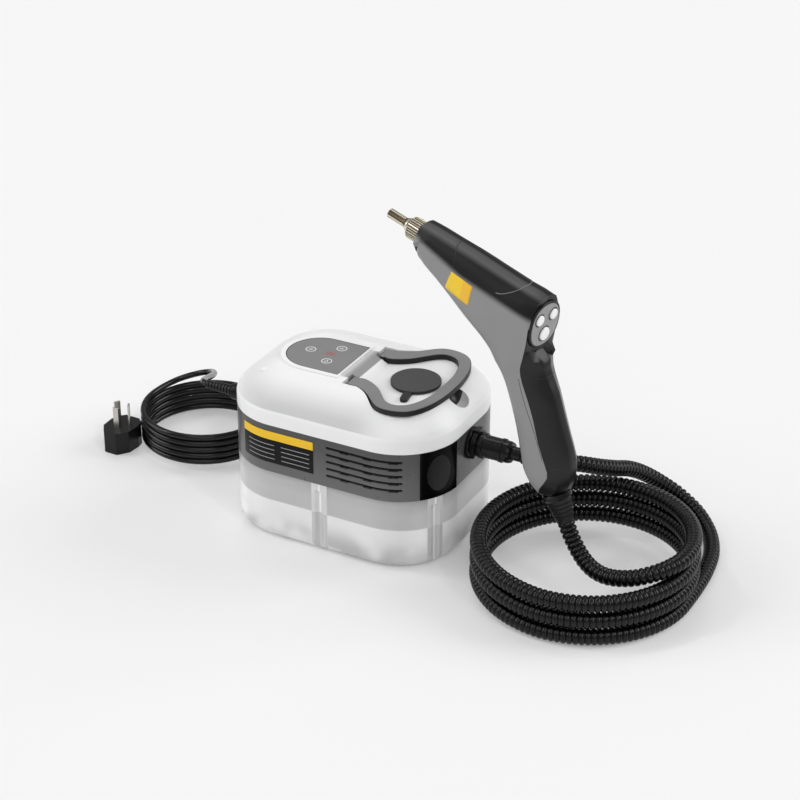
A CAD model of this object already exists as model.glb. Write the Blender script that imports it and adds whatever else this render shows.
# %% [markdown]
# # A portable steam cleaner, dressed for its picture
# The machine is a rounded base with a clear water tank, a white cover, a carry handle that
# folds flat, a coiled steam hose and a hand-held gun with three buttons. The solids come from
# CAD and already have their sizes and joints. This lesson gives them their finishes and adds
# the pieces that CAD leaves plain. The first cell loads the solids and keeps their box,
# because nothing that follows may grow past it.

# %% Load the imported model
import bpy, bmesh, math
from mathutils import Matrix, Vector
from mathutils.bvhtree import BVHTree


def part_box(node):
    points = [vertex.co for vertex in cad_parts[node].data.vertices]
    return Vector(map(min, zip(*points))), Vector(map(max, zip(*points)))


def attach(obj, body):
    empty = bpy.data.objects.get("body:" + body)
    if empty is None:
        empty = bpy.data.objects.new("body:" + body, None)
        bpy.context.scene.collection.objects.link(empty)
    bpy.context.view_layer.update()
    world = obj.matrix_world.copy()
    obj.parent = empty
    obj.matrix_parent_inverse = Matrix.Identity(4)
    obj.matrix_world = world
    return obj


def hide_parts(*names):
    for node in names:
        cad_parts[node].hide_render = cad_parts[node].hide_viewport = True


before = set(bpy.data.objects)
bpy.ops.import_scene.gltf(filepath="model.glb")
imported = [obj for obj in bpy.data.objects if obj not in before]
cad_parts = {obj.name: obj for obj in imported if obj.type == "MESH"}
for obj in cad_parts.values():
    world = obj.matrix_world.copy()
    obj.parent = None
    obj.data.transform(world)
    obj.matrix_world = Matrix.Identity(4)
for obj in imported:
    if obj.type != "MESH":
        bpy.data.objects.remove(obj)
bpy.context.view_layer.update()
mm = 0.001

# %% [markdown]
# ## The camera
# The picture was taken from the front right, 28 degrees above the table, with a long lens, so
# lines stay nearly parallel. A camera could be pointed with a Track To constraint, but writing
# its three axes into a matrix says the same with nothing left to evaluate. The lens follows
# from a focal length of 2200 picture points on a frame 800 points wide.

# %% Camera
turn, rise, reach = math.radians(28.1), math.radians(28.0), 2.342
picture_points, focal_points, sensor = 800, 2200, 36
aim_right, aim_up = 35.3, 110
sight = Vector((math.sin(turn)*math.cos(rise), -math.cos(turn)*math.cos(rise), math.sin(rise)))
right = Vector((math.cos(turn), math.sin(turn), 0))
up = sight.cross(right)
lens_data = bpy.data.cameras.new("camera")
lens_data.sensor_width, lens_data.lens = sensor, sensor*focal_points/picture_points
lens_data.clip_start, lens_data.clip_end = 0.1, 30
camera = bpy.data.objects.new("camera", lens_data)
stand = (sight*focal_points + right*aim_right + up*aim_up)*reach/focal_points
axes = Matrix((right, up, sight)).transposed().to_4x4()
camera.matrix_world = Matrix.Translation(stand) @ axes
bpy.context.scene.collection.objects.link(camera)
bpy.context.scene.camera = camera
print("camera stands at", [round(c, 3) for c in camera.matrix_world.translation])

# %% [markdown]
# ## Floor
# The picture has a pale background without a horizon and only a soft grey shade under the
# machine. A curved backdrop could give that, but one wide floor is simpler. A small part of
# what the camera sees of it will be a fixed pale grey and the rest real light.

# %% Floor
def keep(mesh_name, bm, shade=40):
    """Turns a bmesh into an object with smooth faces and sharp edges above an angle."""
    bmesh.ops.recalc_face_normals(bm, faces=bm.faces)
    for face in bm.faces:
        face.smooth = True
    for edge in bm.edges:
        edge.smooth = not edge.is_manifold or edge.calc_face_angle(0) < math.radians(shade)
    mesh = bpy.data.meshes.new(mesh_name)
    bm.to_mesh(mesh)
    bm.free()
    piece = bpy.data.objects.new(mesh_name, mesh)
    bpy.context.scene.collection.objects.link(piece)
    return piece


bm = bmesh.new()
floor_half, floor_drop = 8, 0.3*mm
bmesh.ops.create_grid(bm, x_segments=2, y_segments=2, size=floor_half)
bmesh.ops.translate(bm, verts=bm.verts, vec=(0, 0, -floor_drop))
floor = keep("floor", bm)
print("floor:", 2*floor_half, "m wide")

# %% [markdown]
# ## Lamps
# Lamps of the Sun kind with a wide angle light every part of the floor alike, where a nearby
# lamp would leave a bright spot. Two light the ends of the machine, one its front and one its
# top from behind. Two narrow ones put a glint on every rib of the hose.

# %% Lamps
def lamp(name, strength, spread, height, around):
    """A soft sun: height and direction in degrees, seen from the machine."""
    data = bpy.data.lights.new(name, "SUN")
    data.energy, data.angle = strength, math.radians(spread)
    towards = Vector((math.cos(math.radians(around))*math.cos(math.radians(height)),
                      math.sin(math.radians(around))*math.cos(math.radians(height)),
                      math.sin(math.radians(height))))
    made = bpy.data.objects.new(name, data)
    made.matrix_world = towards.to_track_quat("Z", "Y").to_matrix().to_4x4()
    bpy.context.scene.collection.objects.link(made)
    return made


lamp("key_lamp", 0.6, 50, 42, 300)
lamp("right_lamp", 1.15, 36, 30, 36)
lamp("left_lamp", 0.85, 40, 28, 207)
lamp("top_lamp", 0.3, 18, 66, 128)
lamp("glint_left", 0.22, 4, 56, 195)
lamp("glint_right", 0.22, 4, 48, 335)

# %% [markdown]
# ## World
# A studio is lighter overhead than at the horizon, which gives glossy plastic a soft gradient.
# A picture of a room could light the scene, but mixing two strengths by height needs no
# picture. The camera itself sees one even pale grey past the floor's end.

# %% World
horizon, overhead, background = 0.28, 0.52, 0.92
world = bpy.data.worlds.new("studio")
world.use_nodes = True
nodes, links = world.node_tree.nodes, world.node_tree.links
way, part, rise_of, eye, pick = (nodes.new("ShaderNode" + kind) for kind in
    ("TexCoord", "SeparateXYZ", "MapRange", "LightPath", "Mix"))
links.new(way.outputs["Generated"], part.inputs[0])
links.new(part.outputs["Z"], rise_of.inputs[0])
for socket, value in ((1, 0.0), (2, 0.95), (3, horizon), (4, overhead)):
    rise_of.inputs[socket].default_value = value
links.new(eye.outputs["Is Camera Ray"], pick.inputs[0])
links.new(rise_of.outputs[0], pick.inputs[2])
pick.inputs[3].default_value = background
links.new(pick.outputs[0], nodes["Background"].inputs["Strength"])
nodes["Background"].inputs["Color"].default_value = (1, 1, 1, 1)
bpy.context.scene.world = world
bpy.context.scene.view_settings.view_transform = "Standard"
print("world strength:", horizon, "to", overhead)

# %% [markdown]
# ## Routes of the hose and the cord
# A hose is a fixed length that lies where its stiffness lets it. The routes repeat the points
# of the CAD source: the hose leaves the connector, sinks behind the coil, climbs through
# three turns and crosses the middle of the coil to the gun. A Catmull-Rom curve passes
# through every point, so the points can be read off the machine itself.

# %% Routes
def smooth_line(points, steps):
    """A curve through the points, with that many steps between two of them."""
    p = [2*points[0] - points[1]] + points + [2*points[-1] - points[-2]]
    line = [0.5*(2*b + (c - a)*t + (2*a - 5*b + 4*c - d)*t*t + (3*b - a - 3*c + d)*t*t*t)
            for a, b, c, d in zip(p, p[1:], p[2:], p[3:]) for t in (k/steps for k in range(steps))]
    return line + [points[-1]]


def metres(points):
    return [Vector(q)*mm for q in points]


def length_of(line):
    return sum((b - a).length for a, b in zip(line, line[1:]))


hose_turns, hose_centre, hose_ring, hose_rise = 3, Vector((264.3, -23.4, 8.8)), 106.8, 18.6
cord_turns, cord_centre, cord_ring, cord_rise = 5, Vector((-234.1, 54.7, 3.5)), 68.7, 7.4


def hose_coil_at(t):
    """The hose's middle line after t turns: flat for a quarter turn, then climbing to the next."""
    f = t - math.floor(t)
    climb = math.floor(t) + (0 if f < 0.25 else (f - 0.25)/0.75)
    round_ring = Vector((math.cos(math.tau*t), -math.sin(math.tau*t), 0))*hose_ring
    return (hose_centre + round_ring + Vector((0, 0, hose_rise*climb)))*mm


lead_points = metres([(182, 0, 115), (194, 0, 115), (206, 6, 114), (222, 15, 111), (237, 29, 105),
    (248, 47, 96), (256, 68, 86), (262, 90, 76), (270, 110, 63), (283, 127, 47), (303, 136, 31),
    (326, 130, 19), (347, 109, 12), (361, 80, 9.5), (368, 46, 8.9), (370.8, 10, 8.8)])
lead_points.append(hose_coil_at(0))
gun_points = [hose_coil_at(hose_turns)] + metres([(368.7, -39.1, 64.6), (360.3, -55.3, 63),
    (347.2, -67.4, 59.6), (332.9, -73.3, 55.6), (313.8, -74.3, 51.5), (297.5, -70.2, 50.3),
    (284.1, -63.8, 52.4), (272.6, -57.2, 58), (263.6, -52.2, 65.9), (256.8, -49, 75.1),
    (252.4, -47.5, 83.6)])
turn_steps = 96
hose_line = smooth_line(lead_points, 12) + \
    [hose_coil_at(k/turn_steps) for k in range(1, hose_turns*turn_steps)] + smooth_line(gun_points, 12)


def cord_coil_at(t):
    """The cord's middle line after t turns."""
    round_ring = Vector((-math.cos(math.tau*t), math.sin(math.tau*t), 0))*cord_ring
    return (cord_centre + round_ring + Vector((0, 0, cord_rise*t)))*mm


cord_lead_points = [cord_coil_at(cord_turns)] + metres([(-300, 74, 41.5), (-292, 94, 43.5),
    (-276, 107, 48), (-257, 104, 56), (-241, 87, 66), (-228, 62, 77), (-217, 36, 89),
    (-207, 14, 99), (-199, 3, 103.6), (-193, 0, 104)])
plug_way = Vector((math.cos(math.radians(88)), math.sin(math.radians(88)), 0))
plug_exit = Vector((-308, -3.6, 13))*mm + plug_way*25*mm
cord_tail_points = [plug_exit, plug_exit + plug_way*6*mm] + \
    metres([(-309, 37, 8), (-306.2, 46, 4.4)]) + [cord_coil_at(0)]
turn_steps = 48
cord_coil = [cord_coil_at(k/turn_steps) for k in range(cord_turns*turn_steps)]
cord_line = smooth_line(cord_tail_points, 6)[:-1] + cord_coil + smooth_line(cord_lead_points, 8)
cord_line.reverse()
print("hose", round(length_of(hose_line), 3), "m; cord", round(length_of(cord_line), 3), "m")

# %% [markdown]
# ## The ribbed steam hose
# The real hose is a plastic spiral tube with a rib every six millimetres. Modelling each rib
# by hand along a bent line would be slow. Here one straight rib is spun from its profile,
# an Array repeats it over the whole length, and a Curve modifier bends the row along
# the route. The result is then kept as a plain mesh.

# %% One rib, repeated and bent
def curve_of(name, line):
    """A curve object with one open spline through the line."""
    data = bpy.data.curves.new(name, "CURVE")
    data.dimensions = "3D"
    spline = data.splines.new("POLY")
    spline.points.add(len(line) - 1)
    for point, place in zip(spline.points, line):
        point.co = (*place, 1)
    made = bpy.data.objects.new(name, data)
    bpy.context.scene.collection.objects.link(made)
    return made


def settled(piece, name, *helpers):
    """The piece as its modifiers show it, as a plain mesh object that replaces it and its helpers."""
    bpy.context.view_layer.update()
    shown = piece.evaluated_get(bpy.context.evaluated_depsgraph_get())
    mesh = bpy.data.meshes.new_from_object(shown)
    mesh.name = name
    made = bpy.data.objects.new(name, mesh)
    bpy.context.scene.collection.objects.link(made)
    for helper in (piece, *helpers):
        bpy.data.objects.remove(helper)
    return made


hose_length = length_of(hose_line)
rib_pitch = 5.8*mm
rib_count = round(hose_length/rib_pitch)
rib = hose_length/rib_count
half_profile = [(0, 6.7), (0.05, 7.3), (0.16, 8.0), (0.32, 8.5)]
profile = half_profile + [(0.5, 8.6)] + [(1 - x, r) for x, r in reversed(half_profile)]
bm = bmesh.new()
line = [bm.verts.new((x*rib, 0, r*mm)) for x, r in profile]
for a, b in zip(line, line[1:]):
    bm.edges.new((a, b))
bmesh.ops.spin(bm, geom=bm.verts[:] + bm.edges[:], cent=(0, 0, 0), axis=(1, 0, 0), angle=math.tau,
    steps=16, use_merge=True)
one_rib = keep("one_rib", bm, 80)
row = one_rib.modifiers.new("row", "ARRAY")
row.use_relative_offset, row.use_constant_offset = False, True
row.constant_offset_displace = (rib, 0, 0)
row.count, row.use_merge_vertices, row.merge_threshold = rib_count, True, 0.05*mm
bend = one_rib.modifiers.new("bend", "CURVE")
bend.object = curve_of("hose_route", hose_line)
steam_hose = settled(one_rib, "steam_hose", bend.object)
print("ribs:", rib_count, "faces:", len(steam_hose.data.polygons))

# %% [markdown]
# ## Declaring the hose
# A cord or hose is declared with its real length, its diameter and what is on its far end.
# The mesh tube follows a path, which is given with it. The hose leaves the connector's
# sleeve and goes back into the machine at the gun's boot.

# %% Hose declared
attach(steam_hose, "base")
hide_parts("hose_lead", "hose_coil", "gun_lead")
print("steam hose:", len(hose_line), "points")

# %% [markdown]
# ## The mains cord
# A smooth round flex needs no mesh work: a curve with a round bevel is the whole cord, and its
# line stays easy to edit. It starts at the boot on the base's left end, lies in five turns
# and ends in the plug.

# %% Mains cord
def round_tube(name, line, radius, steps=5):
    """A smooth tube round a line, kept as a mesh."""
    tube = curve_of(name + "_line", line)
    tube.data.bevel_depth, tube.data.bevel_resolution, tube.data.use_fill_caps = radius, steps, True
    return settled(tube, name)


mains_cord = round_tube("mains_cord", cord_line, 3.4*mm)
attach(mains_cord, "base")
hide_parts("cord_lead", "cord_coil", "cord_tail")
round(length_of(cord_line), 3)
print("mains cord:", len(cord_line), "points")

# %% [markdown]
# ## Sums with shader sockets
# A finish is a small calculation on each point of a surface. Written as nodes and links it is
# hard to read, so a class wraps a socket and lets Python do sums with it: every sum adds its
# Math node. All other nodes come from one method that takes the kind of node, its settings and
# the values or links of its sockets.

# %% Value and Finish
class Value:
    """A socket of a finish, in sums like a number."""
    def __init__(self, finish, socket):
        self.finish, self.socket = finish, socket

    def sum(self, operation, a, b=0.0):
        return self.finish.node("ShaderNodeMath", {"operation": operation}, {0: a, 1: b})

    def __add__(self, other): return self.sum("ADD", self, other)
    def __radd__(self, other): return self.sum("ADD", other, self)
    def __sub__(self, other): return self.sum("SUBTRACT", self, other)
    def __rsub__(self, other): return self.sum("SUBTRACT", other, self)
    def __mul__(self, other): return self.sum("MULTIPLY", self, other)
    def __truediv__(self, other): return self.sum("DIVIDE", self, other)
    def __pow__(self, other): return self.sum("POWER", self, other)
    def __mod__(self, other): return self.sum("FLOORED_MODULO", self, other)
    def __gt__(self, other): return self.sum("GREATER_THAN", self, other)
    def __lt__(self, other): return self.sum("LESS_THAN", self, other)
    def __abs__(self): return self.sum("ABSOLUTE", self)


class Finish:
    """One material: its nodes, and a shader with the finish of one kind of piece."""
    def __init__(self, name):
        self.material = bpy.data.materials.new(name)
        self.material.use_nodes = True
        self.tree = self.material.node_tree
        self.tree.nodes.clear()
        self.here = self.node("ShaderNodeTexCoord", pick="Object")

    def node(self, kind, settings=None, values=None, pick=0):
        """Adds a node and gives back one of its outputs."""
        made = self.tree.nodes.new(kind)
        for key, value in (settings or {}).items():
            if key == "stops":
                while len(made.color_ramp.elements) < len(value):
                    made.color_ramp.elements.new(0.5)
                for element, (place, colour) in zip(made.color_ramp.elements, value):
                    element.position, element.color = place, colour
            else:
                setattr(made, key, value)
        for key, value in (values or {}).items():
            if isinstance(value, Value):
                self.tree.links.new(value.socket, made.inputs[key])
            else:
                made.inputs[key].default_value = value
        return Value(self, made.outputs[pick]) if made.outputs else made

    def axis(self, name):
        return self.node("ShaderNodeSeparateXYZ", None, {0: self.here}, pick=name)

    def noise(self, size, detail=3.0, stretch=None, rough=0.55):
        """Cloudy noise from 0 to 1 with lumps of that size in metres."""
        place = self.here
        if stretch:
            place = self.node("ShaderNodeVectorMath", {"operation": "MULTIPLY"}, {0: place, 1: stretch})
        return self.node("ShaderNodeTexNoise", None,
            {"Vector": place, "Scale": 1/size, "Detail": detail, "Roughness": rough})

    def speck(self, size):
        """The distance to the nearest of many scattered points, for moulded grain."""
        return self.node("ShaderNodeTexVoronoi", None, {"Vector": self.here, "Scale": 1/size})

    def smooth(self, value, low, high):
        """0 below low, 1 above high, and a soft step between."""
        return self.node("ShaderNodeMapRange", {"interpolation_type": "SMOOTHSTEP"},
            {0: value, 1: low, 2: high, 3: 0.0, 4: 1.0})

    def mix(self, share, a, b):
        """Colour a where share is 0 and colour b where it is 1."""
        return self.node("ShaderNodeMix", {"data_type": "RGBA"}, {0: share, 6: a, 7: b}, pick=2)

    def along(self, origin, way):
        """How far a point lies from origin in that direction, in metres."""
        vector_sum = "ShaderNodeVectorMath"
        from_there = self.node(vector_sum, {"operation": "SUBTRACT"}, {0: self.here, 1: origin})
        return self.node(vector_sum, {"operation": "DOT_PRODUCT"}, {0: from_there, 1: way},
            pick="Value")

    def least(self, a, b):
        return self.node("ShaderNodeMath", {"operation": "MINIMUM"}, {0: a, 1: b})

    def clamp(self, value):
        return self.node("ShaderNodeClamp", None, {0: value})

    def close(self, shader):
        self.node("ShaderNodeOutputMaterial", None, {0: shader})
        return self.material

    def surface(self, colour, roughness, metallic=0.0, height=None, depth=0.0, rounding=0.0, **fixed):
        """The finished material, with bumps of a depth in metres and softly rounded edges."""
        values = {"Base Color": colour, "Roughness": roughness, "Metallic": metallic}
        values.update({key.replace("_", " "): value for key, value in fixed.items()})
        normal = None
        if rounding:
            normal = self.node("ShaderNodeBevel", {"samples": 4}, {"Radius": rounding})
        if height is not None:
            under = {"Normal": normal} if normal else {}
            normal = self.node("ShaderNodeBump", None,
                {"Strength": 1.0, "Distance": depth, "Height": height, **under})
        if normal:
            values["Normal"] = normal
        return self.close(self.node("ShaderNodeBsdfPrincipled", None, values))


def length(*parts):
    """The length of a vector from its parts, which may be sockets."""
    squares = [part*part for part in parts]
    return sum(squares[1:], squares[0])**0.5


def grey(level, extra=0.0):
    return (level, level, level + extra, 1)


# %% [markdown]
# ## The floor's finish
# The floor is pale for the camera, for reflections and through the clear tank, and gives back
# ordinary light to the machine for everything else.

# %% Floor finish
pale = Finish("pale_floor")
seen = [pale.node("ShaderNodeLightPath", pick=kind) for kind in
        ("Is Camera Ray", "Is Glossy Ray", "Is Transmission Ray")]
lit = pale.node("ShaderNodeBsdfDiffuse", None,
    {"Color": pale.mix(pale.noise(0.4, 1.0), grey(0.85), grey(0.87))})
glow = pale.node("ShaderNodeEmission", None, {"Color": grey(0.912), "Strength": 1.0})
fixed_share = 0.22
share = (seen[0] + seen[1] + seen[2])*fixed_share
both = pale.node("ShaderNodeMixShader", None, {0: share, 1: lit, 2: glow})
floor.data.materials.append(pale.close(both))
print("floor's nodes:", len(pale.tree.nodes))

# %% [markdown]
# ## Plastics
# Nearly all of the machine is moulded plastic. A mould leaves a fine grain, the gloss varies a
# little from place to place, and edges catch light because they are never perfectly sharp. One
# helper makes all of these, and each piece gets its own colour, gloss and grain.

# %% Plastic finishes
def plastic(name, tone, gloss, grain=0.0009, depth=0.00001, rounding=0.0, tint=0.0, **fixed):
    f = Finish(name)
    cloud = f.noise(0.03, 4.0)
    colour = f.mix(cloud, grey(tone*0.94, tint), grey(min(tone*1.05, 1), tint))
    roughness = gloss + (f.noise(0.012, 3.0) - 0.5)*0.1
    return f.surface(colour, roughness, height=f.speck(grain), depth=depth, rounding=rounding, **fixed)


finishes = {
    "neck_white": plastic("neck_white", 0.8, 0.35, tint=-0.01),
    "key_white": plastic("key_white", 0.9, 0.22, 0.001, 0.000004, 0.0004, Coat_Weight=0.3,
        Coat_Roughness=0.08),
    "plate_grey": plastic("plate_grey", 0.27, 0.38, 0.0007, 0.00001, 0.0003),
    "works_black": plastic("works_black", 0.006, 0.4, 0.0009, 0.00002, Specular_IOR_Level=0.2),
    "joint_black": plastic("joint_black", 0.005, 0.24, 0.001, 0.000012, 0.0005,
        Specular_IOR_Level=0.25),
    "trim_black": plastic("trim_black", 0.002, 0.16, 0.001, 0.000006, 0.0004,
        Specular_IOR_Level=0.1),
    "plug_black": plastic("plug_black", 0.007, 0.3, 0.001, 0.00003, 0.001, Specular_IOR_Level=0.25),
    "lens_smoke": plastic("lens_smoke", 0.006, 0.12, 0.003, 0.000004, 0.0006, Specular_IOR_Level=0.3),
    "tube_white": plastic("tube_white", 0.74, 0.4, tint=-0.02),
    "pump_black": plastic("pump_black", 0.035, 0.45),
}
print("plastic finishes:", len(finishes))

# %% [markdown]
# ## Finishes with more to say
# Some pieces change over their surface. The cover is greyer on its shoulder and in its well's
# end wall, and black in its finger scoop. A picture could be painted for it, but a finish that
# reads the point's own place needs none, and the change stays on the piece from every side.

# %% Cover
ledge_z, shoulder_z = 0.150, 0.175
well_wall_x, well_half = 0.0072, 0.031
scoop_at, scoop_radius = (0.113, 0, 0.168), 0.014

f = Finish("cover_white")
x, y, z = (f.axis(name) for name in "XYZ")
above_ledge = f.smooth(z, ledge_z - 0.3*mm, ledge_z + 0.7*mm)
middle = 1 - f.smooth(abs(x + 0.02), 0.05, 0.1)*0.9
shoulder = above_ledge*(1 - f.smooth(z, ledge_z + 5*mm, shoulder_z))*middle
white = f.mix(f.noise(0.05), grey(0.85, 0.004), grey(0.89, 0.004))
colour = f.mix(shoulder*0.9, white, grey(0.56, 0.004))
wall = f.smooth(x, -0.014, 0.001)*(1 - f.smooth(x, well_wall_x, well_wall_x + 1.4*mm))
wall = wall*(1 - f.smooth(abs(y), well_half, well_half + 4*mm))*(z > 0.160)
colour = f.mix(wall*0.85, colour, grey(0.2))
from_scoop = length(x - scoop_at[0], y, z - scoop_at[2])
scoop = (1 - f.smooth(from_scoop, scoop_radius + 0.2*mm, scoop_radius + 0.5*mm))*(x > 0.1)
colour = f.mix(scoop, colour, f.mix(f.smooth(x, 0.1075, 0.1085), grey(0.008), grey(0.5)))
finishes["cover_white"] = f.surface(colour, 0.3 + f.noise(0.012)*0.08, height=f.speck(0.0012),
    depth=0.000005, Specular_IOR_Level=0.3)
print("cover's nodes:", len(f.tree.nodes))

# %% [markdown]
# ## Panel film and cap
# The panel's film has a black border that follows its half-round end. It could be a second
# sheet, but the distance from the film's outline draws it in the finish. The filler cap is
# matt and grey on its top only.

# %% Panel film and cap
f = Finish("panel_grey")
film_low, film_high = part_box("panel_overlay")
film_round = (film_high.y - film_low.y)/2
x, y = f.axis("X"), f.axis("Y")
left = f.least(x - (film_low.x + film_round), 0.0)
inside = film_round - length(left, y)
border = 1 - f.smooth(f.least(inside, film_high.x - x), 0.7*mm, 0.9*mm)
colour = f.mix(border, f.mix(f.noise(0.03), grey(0.2), grey(0.225)), grey(0.012))
finishes["panel_grey"] = f.surface(colour, 0.42 + f.noise(0.01)*0.08, height=f.speck(0.0006),
    depth=0.00001)

f = Finish("cap_grey")
cap_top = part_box("filler_cap")[1].z
top = f.smooth(f.axis("Z"), cap_top - 1.6*mm, cap_top - 1.2*mm)
colour = f.mix(top, grey(0.006), f.mix(f.noise(0.01), grey(0.048), grey(0.055)))
finishes["cap_grey"] = f.surface(colour, 0.5 + f.noise(0.01)*0.1, height=f.speck(0.0008),
    depth=0.000025, rounding=0.5*mm)
print("film ends at x =", round(film_low.x, 4), "and", round(film_high.x, 4))

# %% [markdown]
# ## Band and handle
# The band is a little lighter towards its lower edge. The handle is moulded in two plastics,
# grey above and black below. Both change with height alone, so one smooth step in z does it
# and the handle needs no second mesh.

# %% Band and handle
f = Finish("band_grey")
height = f.smooth(f.axis("Z"), 0.078, 0.136)
colour = f.mix(f.noise(0.05)*0.25, f.mix(height, grey(0.115), grey(0.045)), grey(0.14))
finishes["band_grey"] = f.surface(colour, 0.24 + f.noise(0.01)*0.1, height=f.speck(0.0009),
    depth=0.000006)

handle_edge_z = 0.1728
f = Finish("handle_two_tone")
upper = f.smooth(f.axis("Z"), handle_edge_z - 0.1*mm, handle_edge_z + 0.1*mm)
colour = f.mix(upper, grey(0.005), f.mix(f.noise(0.02), grey(0.2), grey(0.23)))
finishes["handle_two_tone"] = f.surface(colour, 0.38 + f.noise(0.01)*0.1, height=f.speck(0.0007),
    depth=0.000015, rounding=0.5*mm, Specular_IOR_Level=0.35)
print("finishes so far:", len(finishes))

# %% [markdown]
# ## The gun
# The gun's grey flank fades into the black back of the barrel, which has a soft sheen. The
# finish follows the gun's own directions: along the barrel, across it, and up from it. They
# are the same turn and tilt as in the CAD source.

# %% Gun finishes
gun_at = Vector((218.6, -40, 289.8))*mm
gun_turn = Matrix.Rotation(math.radians(-12.6), 3, "Z") @ Matrix.Rotation(math.radians(13.3), 3, "Y")
gun_x, gun_y, gun_z = (gun_turn @ Vector(v) for v in ((1, 0, 0), (0, 1, 0), (0, 0, 1)))
barrel_line = gun_at + gun_z*12.6*mm

f = Finish("gun_grey")
along, across, up_from = (f.along(gun_at, way) for way in (gun_x, gun_y, gun_z))
nose = f.node("ShaderNodeMath", {"operation": "MAXIMUM"}, {0: -0.09 - along, 1: 0.0})
fade = f.smooth(up_from - nose*0.14, 3.5*mm, 11.5*mm)
under = 1 - f.smooth(abs(across), 12.5*mm, 13.5*mm)
over = f.along(barrel_line, gun_z)
facing = (over*0.95 - across*0.32)/length(over, across)
sheen = f.smooth(facing, 0.86, 1.0)*(1 - f.smooth(along, -0.02, 0.01)*0.6)
black = f.mix(sheen*fade, grey(0.003), grey(0.075))
colour = f.mix(f.clamp(fade + under), f.mix(f.noise(0.03), grey(0.25), grey(0.275)), black)
finishes["gun_grey"] = f.surface(colour, 0.36 + f.noise(0.01)*0.08, height=f.speck(0.0006),
    depth=0.000012, rounding=0.5*mm, Specular_IOR_Level=0.28)
finishes["grip_black"] = plastic("grip_black", 0.006, 0.3, 0.0006, 0.00002, 0.0005,
    Specular_IOR_Level=0.35)
print("gun axes:", [[round(c, 4) for c in v] for v in (gun_x, gun_y, gun_z)])

# %% [markdown]
# ## Rubber and metal
# Rubber is matt with a coarse grain. The pan is drawn aluminium with fine lines in it, and
# screws are bright steel. Stretched noise gives the lines, where a scratched picture would
# have to be laid on each piece.

# %% Rubber and metal
def rubber(name, tone, gloss, depth=0.00003, **fixed):
    f = Finish(name)
    colour = f.mix(f.noise(0.006, 5.0), grey(tone*0.8), grey(tone*1.25))
    return f.surface(colour, gloss + f.noise(0.004)*0.15, height=f.noise(0.0007, 4.0), depth=depth,
        **fixed)


def metal(name, colour, gloss, lines=(1, 1, 60), depth=0.000006):
    """Metal with fine wear, stretched into lines along an axis."""
    f = Finish(name)
    worn = f.noise(0.008, 5.0, lines)
    darker = tuple(c*0.92 for c in colour[:3]) + (1,)
    return f.surface(f.mix(worn, darker, colour), gloss + worn*0.12, 1.0, height=worn, depth=depth,
        rounding=0.3*mm)


finishes.update({
    "foot_rubber": rubber("foot_rubber", 0.55, 0.6),
    "seal_rubber": rubber("seal_rubber", 0.3, 0.6),
    "boot_rubber": rubber("boot_rubber", 0.007, 0.28, 0.00001, Specular_IOR_Level=0.35),
    "hose_black": rubber("hose_black", 0.002, 0.12, 0.000003, Specular_IOR_Level=0.3),
    "cord_black": rubber("cord_black", 0.003, 0.12, 0.000003, Specular_IOR_Level=0.35),
    "pan_metal": metal("pan_metal", (0.52, 0.525, 0.53, 1), 0.3),
    "screw_steel": metal("screw_steel", (0.62, 0.62, 0.64, 1), 0.25),
    "boiler_cast": metal("boiler_cast", (0.66, 0.66, 0.66, 1), 0.5, (1, 1, 1), 0.00006),
    "brass": metal("brass", (0.72, 0.53, 0.25, 1), 0.25, (1, 1, 1)),
    "pin_metal": metal("pin_metal", (0.6, 0.58, 0.54, 1), 0.24, (1, 1, 30)),
})
print("finishes so far:", len(finishes))

# %% [markdown]
# ## The worn nozzle
# The nozzle's pale plating has turned brown in the knurl and along the front of the tube. The
# distance from the barrel's line finds both places, so nothing has to be painted.

# %% Nozzle
f = Finish("nozzle_plate")
out = length(f.along(barrel_line, gun_y), f.along(barrel_line, gun_z))
front = f.along(barrel_line, gun_z*0.66 - gun_y*0.75)
knurl = f.smooth(out, 10*mm, 11.2*mm)*(1 - f.smooth(out, 11.3*mm, 11.8*mm))
tube = f.smooth(front, 3.6*mm, 4.4*mm)*(1 - f.smooth(out, 6.2*mm, 6.8*mm))
plating = f.mix(f.noise(0.004), (0.66, 0.6, 0.47, 1), (0.8, 0.75, 0.62, 1))
colour = f.mix(f.clamp(knurl*0.85 + tube*0.9), plating, (0.06, 0.036, 0.016, 1))
finishes["nozzle_plate"] = f.surface(colour, 0.16 + f.noise(0.004)*0.1, 1.0, height=f.noise(0.003),
    depth=0.000004)
print("nozzle's nodes:", len(f.tree.nodes))

# %% [markdown]
# ## The clear tank
# The tank is a thick clear wall with six flutes. Real glass would need many bounces of light
# and would still look dark, so the wall is a pale surface that lets a share of the light
# through: less at its edges and ends, much less where it is milky below the pan.

# %% Clear tank
# The corner flutes stand at flute_x and flute_y, the front and back ones at front_flute_y.
flute_x, flute_y, front_flute_y, pan_z = 0.116, 0.0615, 0.095, 0.0455
f = Finish("tank_clear")
x, y, z = (f.axis(name) for name in "XYZ")
to_corner_x, to_corner_y = abs(x) - flute_x, abs(y) - flute_y
from_flute = f.least(length(to_corner_x, to_corner_y), length(x, abs(y) - front_flute_y))
plain = f.smooth(from_flute, 8.5*mm, 9.5*mm)
crease = f.least(abs(x), abs(to_corner_x*0.5 - to_corner_y*0.866))
crease = f.smooth(0 - crease, -1.4*mm, -0.7*mm)*(1 - plain)
above = f.smooth(z, pan_z, pan_z + 2*mm)
milky = (1 - above)*plain
ends, strip = f.smooth(abs(x), 0.085, 0.115), above*(1 - f.smooth(z, 0.06, 0.09))
edge = f.node("ShaderNodeLayerWeight", None, {"Blend": 0.35}, pick="Facing")
cloud = f.smooth(f.noise(0.035, 1.0), 0.35, 0.7)*(1 - f.smooth(z, 0.012, 0.04))
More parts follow.
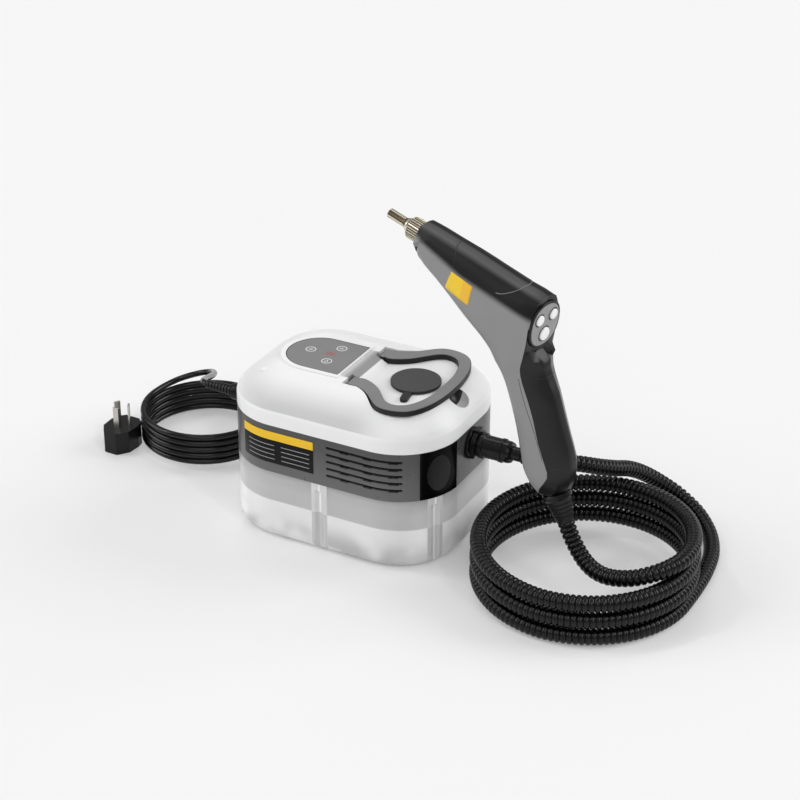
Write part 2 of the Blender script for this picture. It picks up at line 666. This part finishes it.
upper = f.mix(f.smooth(ends + strip, 0.2, 1.0), grey(0.8), grey(0.66))
colour = f.mix(milky, upper, f.mix(cloud, grey(0.97), grey(0.6)))
clear = f.clamp(0.12 + milky*0.6 + edge*0.3 + f.noise(0.05, 2.0)*0.08 + ends*0.25 + strip*0.5 +
    (1 - plain)*0.4)
finishes["tank_clear"] = f.surface(f.mix(crease, colour, grey(0.98)), 0.05 + f.noise(0.02)*0.04,
    height=f.noise(0.03, 2.0), depth=0.00003, Alpha=clear)
print("tank's nodes:", len(f.tree.nodes))

# %% [markdown]
# ## Circuit boards
# The boards lie inside and still get a finish of their own, green with paler tracks. A brick
# pattern gives the tracks without any picture.

# %% Circuit boards
f = Finish("circuit_green")
tracks = f.node("ShaderNodeTexBrick", None, {"Vector": f.here, "Scale": 140.0, "Color1": grey(0),
    "Color2": grey(0.2), "Mortar": grey(1), "Mortar Size": 0.03}, pick="Color")
tracks = f.node("ShaderNodeRGBToBW", None, {0: tracks})
finishes["circuit_green"] = f.surface(f.mix(tracks, (0.015, 0.12, 0.05, 1), (0.1, 0.28, 0.12, 1)),
    0.35 + f.noise(0.005)*0.1, height=f.noise(0.002), depth=0.00002)
print("finishes:", len(finishes))

# %% [markdown]
# ## Dressing the CAD solids
# CAD keeps a solid as many separate faces, and each arrives with its own normals, so a curved
# wall would show its facets. The solids' meshes stay as they are. Three modifiers finish them:
# one joins the points and smooths edges under an angle, one joins flat neighbours, and Weighted
# Normal lets large flat faces keep their direction.

# %% Smoothing group
def softening(angle):
    group = bpy.data.node_groups.new(f"soft_{angle}", "GeometryNodeTree")
    for way in ("INPUT", "OUTPUT"):
        group.interface.new_socket("Geometry", in_out=way, socket_type="NodeSocketGeometry")
    new, link = group.nodes.new, group.links.new
    start, end = new("NodeGroupInput"), new("NodeGroupOutput")
    drop, weld, bent = (new("GeometryNode" + kind) for kind in
        ("RemoveAttribute", "MergeByDistance", "InputMeshEdgeAngle"))
    drop.inputs["Name"].default_value = "custom_normal"
    weld.inputs["Distance"].default_value = 0.02*mm
    low = new("FunctionNodeCompare")
    low.operation = "LESS_THAN"
    low.inputs[1].default_value = math.radians(angle)
    link(bent.outputs[0], low.inputs[0])
    faces, edges = new("GeometryNodeSetShadeSmooth"), new("GeometryNodeSetShadeSmooth")
    edges.domain = "EDGE"
    link(start.outputs[0], drop.inputs[0])
    link(drop.outputs[0], weld.inputs[0])
    link(weld.outputs[0], faces.inputs[0])
    link(faces.outputs[0], edges.inputs[0])
    link(low.outputs[0], edges.inputs["Shade Smooth"])
    link(edges.outputs[0], end.inputs[0])
    return group


soft_groups = {angle: softening(angle) for angle in (24, 40)}
print("groups for angles:", list(soft_groups))

# %% [markdown]
# ## A finish for every node
# All slots of a node get the same finish. One table is easier to check than many calls. Tubes
# and the gun take the wider angle, so that their coarser facets are smoothed too.

# %% Finish of every node
def dress(finish, *nodes, angle=24):
    for name in nodes:
        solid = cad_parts[name]
        for place in solid.material_slots:
            place.material = finishes[finish]
        joined = solid.modifiers.new("joined", "NODES")
        joined.node_group = soft_groups[angle]
        flat = solid.modifiers.new("flat", "DECIMATE")
        flat.decimate_type, flat.angle_limit = "DISSOLVE", math.radians(0.2)
        even = solid.modifiers.new("even", "WEIGHTED_NORMAL")
        even.keep_sharp = True


for finish, nodes in {
    "tank_clear": ["tank"],
    "foot_rubber": ["tank_feet"],
    "seal_rubber": ["tank_gasket", "pump_mounts", "cap_seal"],
    "boot_rubber": ["cord_boot", "gun_boot"],
    "screw_steel": ["tank_screws", "cover_screws", "hinge_pins", "heating_element"],
    "pan_metal": ["chassis_pan"],
    "band_grey": ["band"],
    "trim_black": ["corner_trim"],
    "joint_black": ["hose_socket", "hose_connector", "hose_latch", "cord_gland", "gun_collar"],
    "works_black": ["vent_baffle", "strainer"],
    "lens_smoke": ["corner_lens"],
    "cover_white": ["cover"],
    "neck_white": ["filler_neck"],
    "panel_grey": ["panel_overlay"],
    "circuit_green": ["control_board", "power_board", "button_board"],
    "handle_two_tone": ["carry_handle"],
    "cap_grey": ["filler_cap"],
    "boiler_cast": ["boiler"],
    "brass": ["thermostats", "safety_valve", "gun_tube"],
    "pump_black": ["pump"],
    "plug_black": ["plug_body"],
    "pin_metal": ["plug_pins"],
    "plate_grey": ["button_plate"],
    "key_white": ["small_button_left", "small_button_right", "main_button"],
    "nozzle_plate": ["nozzle_nut", "nozzle_tip"],
}.items():
    dress(finish, *nodes)
dress("tube_white", "suction_hose", "pressure_tube", "steam_tube", angle=40)
dress("gun_grey", "gun_shell_left", "gun_shell_right", "gun_top", angle=40)
dress("grip_black", "gun_grip", angle=40)
steam_hose.data.materials.append(finishes["hose_black"])
mains_cord.data.materials.append(finishes["cord_black"])
print("dressed nodes:", sum("even" in solid.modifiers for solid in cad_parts.values()))

# %% [markdown]
# ## The plate on the band
# The real machine has a printed plate on the front left of the band: a yellow strip over a
# black field. Here it stays without print, with plain ruled lines. It has to follow the
# band round the corner. A row of points is placed along the band's outline, extruded upwards
# in one step, and Solidify gives the sheet its thickness.

# %% Band plate
corner_centre, corner_radius = Vector((-58, -28, 0))*mm, 67*mm


def band_point(run, out):
    """A point of the band's front outline, run metres left of where its left corner starts."""
    if run < 0:
        return corner_centre + Vector((-run, -corner_radius - out, 0))
    turned = run/corner_radius
    return corner_centre + Vector((-math.sin(turned), -math.cos(turned), 0))*(corner_radius + out)


def extruded(bm, made, rise):
    """Moves up the points that an extrude gave."""
    bmesh.ops.translate(bm, verts=[v for v in made["geom"] if isinstance(v, bmesh.types.BMVert)],
        vec=(0, 0, rise))


plate_left, plate_length, plate_low, plate_rise, plate_gap, plate_steps = 35.5, 87.5, 91, 36, 0.05, 48
bm = bmesh.new()
plate_line = [band_point((plate_left - plate_length*k/plate_steps)*mm, plate_gap*mm) +
    Vector((0, 0, plate_low*mm)) for k in range(plate_steps + 1)]
row = [bm.verts.new(q) for q in plate_line]
edges = [bm.edges.new(pair) for pair in zip(row, row[1:])]
extruded(bm, bmesh.ops.extrude_edge_only(bm, edges=edges), plate_rise*mm)
band_plate = keep("band_plate", bm)
thick = band_plate.modifiers.new("thick", "SOLIDIFY")
thick.thickness, thick.offset = 0.45*mm, 1
edges = band_plate.modifiers.new("edges", "BEVEL")
edges.width, edges.segments = 0.15*mm, 2
band_plate = settled(band_plate, "rating_plate")
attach(band_plate, "base")
print("plate faces:", len(band_plate.data.polygons))

# %% [markdown]
# ## The plate's print
# The strip is yellow, and two columns of pale rules stand in for the text. Rules could be thin
# meshes, but a height taken modulo the pitch repeats one rule as often as needed.

# %% Band plate finish
f = Finish("plate_print")
x, z = f.axis("X"), f.axis("Z")
strip_z, field_low, field_high = 0.1179, 0.0945, 0.1150
rule_from, rule_pitch, rule_half = 0.0935, 5.2*mm, 0.4*mm
left_column, right_column, column_half = 0.068, 0.027, 16.5*mm
strip = f.smooth(z, strip_z - 0.1*mm, strip_z + 0.1*mm)
rule = abs(((z - rule_from) % rule_pitch) - rule_pitch/2) < rule_half
rule = rule*(z > field_low)*(z < field_high)
columns = rule*(abs(x + left_column) < column_half) + rule*(abs(x + right_column) < column_half)
yellow = f.mix(f.noise(0.01), (0.82, 0.5, 0.03, 1), (0.88, 0.56, 0.04, 1))
colour = f.mix(strip, f.mix(f.clamp(columns*0.55), grey(0.004), grey(0.6)), yellow)
finishes["plate_print"] = f.surface(colour, 0.3 + f.noise(0.006)*0.12, height=f.speck(0.0008),
    depth=0.000005, Specular_IOR_Level=0.15)
band_plate.data.materials.append(finishes["plate_print"])
print("rules every", round(rule_pitch/mm, 1), "mm")

# %% [markdown]
# ## Marks on the touch panel
# The panel has three round touch fields, each a white ring with a small sign. A ring is a
# circle whose edge loop is extruded and scaled outwards. As meshes the marks stay crisp from
# near by, and they rise a tenth of a millimetre above the film.

# %% Rings and bars
def flat_ring(bm, place, inner, width, sides=48):
    made = bmesh.ops.create_circle(bm, segments=sides, radius=inner, matrix=Matrix.Translation(place))
    edges = list({e for v in made["verts"] for e in v.link_edges})
    wider = bmesh.ops.extrude_edge_only(bm, edges=edges)["geom"]
    bmesh.ops.scale(bm, verts=[v for v in wider if isinstance(v, bmesh.types.BMVert)],
        vec=((inner + width)/inner,)*3, space=Matrix.Translation(-Vector(place)))


def flat_bar(bm, place, length, width, angle=0):
    at = Matrix.Translation(place) @ Matrix.Rotation(math.radians(angle), 4, "Z")
    made = bmesh.ops.create_grid(bm, x_segments=1, y_segments=1, size=0.5, matrix=at)
    bmesh.ops.scale(bm, verts=made["verts"], vec=(length, width, 1), space=at.inverted())


def printed(name, bm, finish):
    """Ink of a tenth of a millimetre on the panel."""
    extruded(bm, bmesh.ops.extrude_face_region(bm, geom=bm.faces[:]), 0.1*mm)
    piece = keep(name, bm)
    piece.data.materials.append(finishes[finish])
    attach(piece, "base")


def ink(name, colour, glow=0.0):
    f = Finish(name)
    shade = f.mix(f.noise(0.004), tuple(c*0.92 for c in colour[:3]) + (1,), colour)
    return f.surface(shade, 0.35 + f.noise(0.003)*0.1, height=f.speck(0.0005), depth=0.000004,
        Emission_Color=colour, Emission_Strength=glow)


finishes["ink_white"] = ink("ink_white", grey(0.82))
finishes["ink_red"] = ink("ink_red", (0.5, 0.04, 0.04, 1), 0.1)
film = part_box("panel_overlay")[1].z


def on_film(x, y):
    return Vector((x*mm, y*mm, film))


bm = bmesh.new()
for x, y in ((-64, 3), (-36, 19), (-36, -13)):
    flat_ring(bm, on_film(x, y), 4.7*mm, 0.95*mm)
for k in (-1, 0, 1):
    flat_bar(bm, on_film(-64 + 0.3*k, 3 + 1.5*k), (4.6 - abs(k))*mm, 0.6*mm, 12)
    flat_bar(bm, on_film(-36 + 1.6*k, 19), (4.4 - abs(k)*1.4)*mm, 0.6*mm, 78)
flat_bar(bm, on_film(-36, -11.2), 3*mm, 0.8*mm, 90)
flat_ring(bm, on_film(-36, -14), 1.2*mm, 0.7*mm, 24)
printed("touch_rings", bm, "ink_white")
print("film's top at z =", round(film, 5))

# %% [markdown]
# ## The red number
# The number is two eights of seven bars each. A text object would need a font, and bars make
# the same figures.

# %% Red figures
level_bars = [(0, 2.9, 0), (0, 0, 0), (0, -2.9, 0)]
upright_bars = [(-1.35, 1.45, 90), (1.35, 1.45, 90), (-1.35, -1.45, 90), (1.35, -1.45, 90)]
bm = bmesh.new()
for x in (-43.5, -38.5):
    for dx, dy, angle in level_bars + upright_bars:
        flat_bar(bm, on_film(x + dx, 3.5 + dy), 2.1*mm, 0.62*mm, angle)
printed("red_figures", bm, "ink_red")
print("bars:", 2*len(level_bars + upright_bars))

# %% [markdown]
# ## Lines on the gun
# The gun's skin bends in two ways, so anything on it has to be laid down on it. A search tree
# of the skin's faces gives the nearest point of the skin for any place near it. The inlay's
# seam and the grip's lines are thin round beads, partly sunk in the skin.

# %% The gun's skin
def skin_of(*nodes):
    points, faces = [], []
    for name in nodes:
        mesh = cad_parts[name].data
        faces += [[i + len(points) for i in face.vertices] for face in mesh.polygons]
        points += [v.co.copy() for v in mesh.vertices]
    return BVHTree.FromPolygons(points, faces)


gun_skin = skin_of("gun_shell_left", "gun_shell_right", "gun_top", "gun_grip")


def on_gun(x, y, z, out=0.0):
    """The nearest point of the gun's skin, in metres, for a place in the gun's own millimetres."""
    place, normal, _, _ = gun_skin.find_nearest(gun_at + (gun_x*x + gun_y*y + gun_z*z)*mm)
    return place + normal*out


def bead(name, radius, finish, points):
    """A thin round bead, sunk by a third of its radius into the skin."""
    line = smooth_line([Vector(q) for q in points], 8)
    piece = round_tube(name, [on_gun(*q, out=-0.3*radius*mm) for q in line], radius*mm, 3)
    piece.data.materials.append(finishes[finish])
    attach(piece, "base")


finishes["seam_black"] = ink("seam_black", grey(0.003))
finishes["seam_light"] = ink("seam_light", grey(0.2))
bead("inlay_seam", 0.42, "seam_black", [(-101, -19.5, 12), (-103, -17, 19), (-106, -14, 23.9),
    (-108.9, -9.7, 27.1), (-111.4, -3.1, 28.7), (-111.7, 2.6, 28.7), (-109.5, 7, 28),
    (-103, 9.6, 27.3), (-95.8, 11, 26.5), (-81.7, 12, 26), (-64, 13.1, 25), (-48, 13.8, 24.4),
    (-32.3, 14.1, 24)])
bead("inlay_end", 0.4, "seam_light", [(-32.3, 14.1, 24), (-29, 9, 26.5), (-26.6, 3, 27.9),
    (-26.6, -3.6, 27.7), (-28.8, -12.1, 25), (-35.3, -17.4, 19.9), (-42.1, -19.8, 15.7),
    (-47.4, -20.3, 14)])
for side, word in ((-1, "right"), (1, "left")):
    bead("flank_line_" + word, 0.3, "seam_black", [(1, 21.2*side, -57.9), (7.2, 19.7*side, -71.4),
        (16.8, 18.9*side, -86.2), (28.1, 18.7*side, -100.8), (40.1, 18.7*side, -117.4),
        (48.3, 18.6*side, -129.3)])
bead("grip_line_high", 0.35, "seam_black", [(5.2, -20.4, -55.7), (12, -17.6, -54.3),
    (17.3, -12.6, -52.2), (21.4, -2.8, -50.9), (21.6, 2.8, -50.9), (17.3, 12.6, -52.2),
    (12, 17.6, -54.3), (5.2, 20.4, -55.7)])
bead("grip_line_low", 0.35, "seam_black", [(54.5, -18.4, -136.2), (62.1, -15.8, -133.4),
    (68.5, -10.4, -127.3), (70.9, -2.1, -121.9), (70.9, 2.1, -121.9), (68.5, 10.4, -127.3),
    (62.1, 15.8, -133.4), (54.5, 18.4, -136.2)])

# %% [markdown]
# ## The yellow patch
# The patch on the flank stays without a sign. A flat sheet would stand off at its corners, so
# a small grid between four corners is laid on the skin point by point.

# %% Yellow patch
bm = bmesh.new()
made = bmesh.ops.create_grid(bm, x_segments=12, y_segments=10, size=0.5)
corners = [Vector(q) for q in
    ((-106.3, -17.6, -15.3), (-73.7, -22, -15.9), (-101.7, -20.1, 7.1), (-73.6, -21.3, 5.9))]
for v in made["verts"]:
    s, t = v.co.x + 0.5, v.co.y + 0.5
    low, high = corners[0].lerp(corners[1], s), corners[2].lerp(corners[3], s)
    v.co = on_gun(*low.lerp(high, t), out=0.08*mm)
gun_patch = keep("gun_patch_sheet", bm)
sheet = gun_patch.modifiers.new("sheet", "SOLIDIFY")
sheet.thickness, sheet.offset = 0.2*mm, 0
gun_patch = settled(gun_patch, "gun_patch")
f = Finish("patch_yellow")
share = f.smooth(f.along(gun_at, gun_x), -0.0865, -0.0845)
colour = f.mix(share, (0.9, 0.62, 0.015, 1), (0.88, 0.5, 0.02, 1))
colour = f.mix(f.noise(0.004)*0.3, colour, (0.8, 0.45, 0.02, 1))
finishes["patch_yellow"] = f.surface(colour, 0.34 + f.noise(0.004)*0.1, height=f.speck(0.0008),
    depth=0.000005)
gun_patch.data.materials.append(finishes["patch_yellow"])
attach(gun_patch, "base")
print("patch faces:", len(gun_patch.data.polygons))

# %% [markdown]
# ## Rims round the gun's plate and buttons
# A black rim frames the button plate, and a thin ring each button. They are tubes round the
# plate's own outline, placed in the leaning plane of the gun's rear face.

# %% Rims
lean = math.radians(5.5)


def on_plate(u, v, w):
    """A point of the rear face: u across, v up and w outwards, in millimetres."""
    out, face_x = w + 0.1, -0.4
    x = face_x + out*math.cos(lean) - v*math.sin(lean)
    z = out*math.sin(lean) + v*math.cos(lean)
    return gun_at + (gun_x*x + gun_y*u + gun_z*z)*mm


def swell(c, power):
    return math.copysign(abs(c)**(2/power), c)


around = [math.tau*k/72 for k in range(72)]


def ring_tube(name, radius, steps, points):
    """A closed black tube: the line ends where it starts."""
    piece = round_tube(name, points + points[:2], radius, steps)
    piece.data.materials.append(finishes["joint_black"])
    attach(piece, "base")


plate_half_u, plate_half_v, plate_swell = 21.7, 23, 2.3
ring_tube("plate_rim", 1.35*mm, 3, [on_plate(plate_half_u*swell(math.cos(a), plate_swell),
    -2 + plate_half_v*swell(math.sin(a), plate_swell), 0.7) for a in around])
for word, u, v, r in (("left", 10.3, 6.2, 5.5), ("right", -10.3, 6.2, 5.5), ("main", 0, -11.8, 7)):
    ring = r + 0.75
    ring_tube("key_ring_" + word, 0.5*mm, 2,
        [on_plate(u + ring*math.cos(a), v + ring*math.sin(a), 2.15) for a in around])
